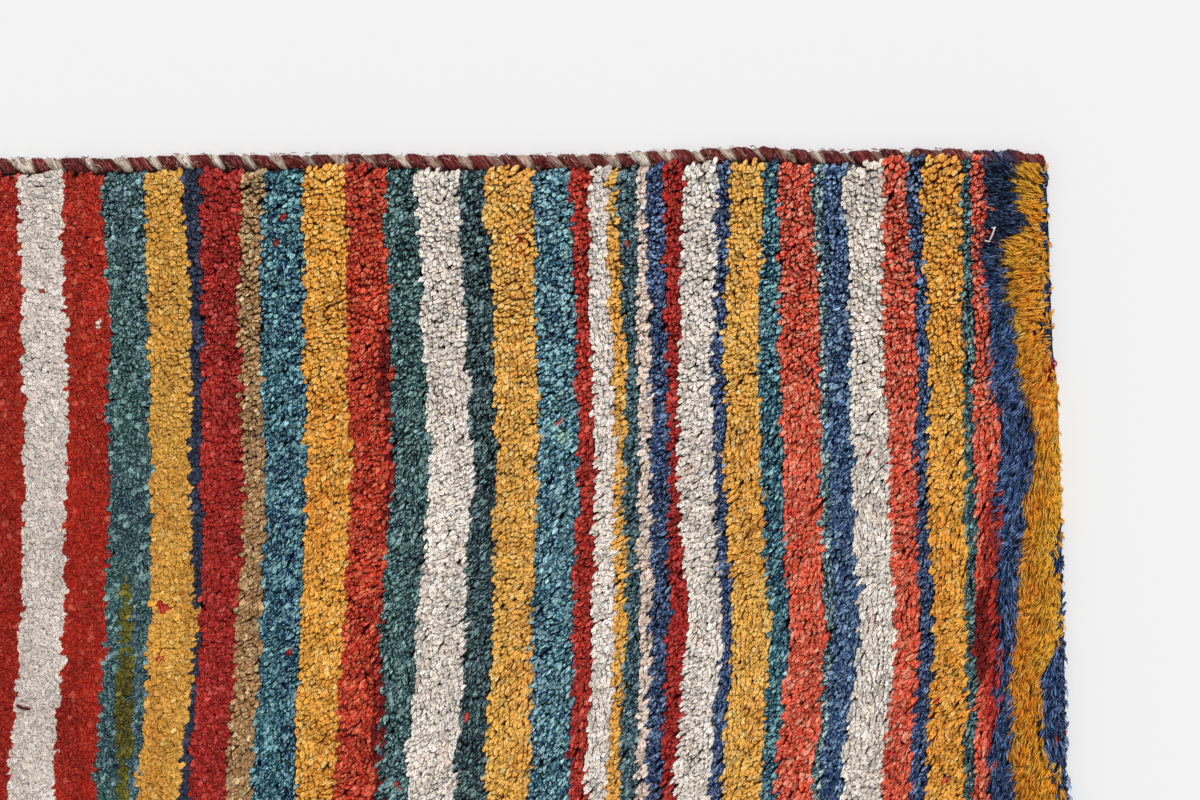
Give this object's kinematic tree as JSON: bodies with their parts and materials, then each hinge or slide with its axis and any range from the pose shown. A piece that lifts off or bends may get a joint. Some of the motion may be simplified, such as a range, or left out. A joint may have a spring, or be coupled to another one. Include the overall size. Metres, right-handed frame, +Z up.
{
  "type": "gabbeh rug",
  "caption": "Small hand-knotted wool rug lying flat, with coloured stripes across it, an overcast cord down each long side and a shaggy end.",
  "frame": {"origin": "on the floor, under the middle of the rug", "axes": "+X along the rug's length, towards its shaggy end; +Y across it; +Z up, out of the pile"},
  "size_m": [0.93, 0.6238, 0.0158],
  "materials": {
    "striped_wool": "knotted wool pile in stripes, clipped, and left long at one end",
    "overcast_wool": "wool yarn wrapped round a bundle of warps"
  },
  "bodies": {
    "root": {"rug_field": "striped_wool", "overcast_far": "overcast_wool", "overcast_near": "overcast_wool"}
  },
  "joints": []
}
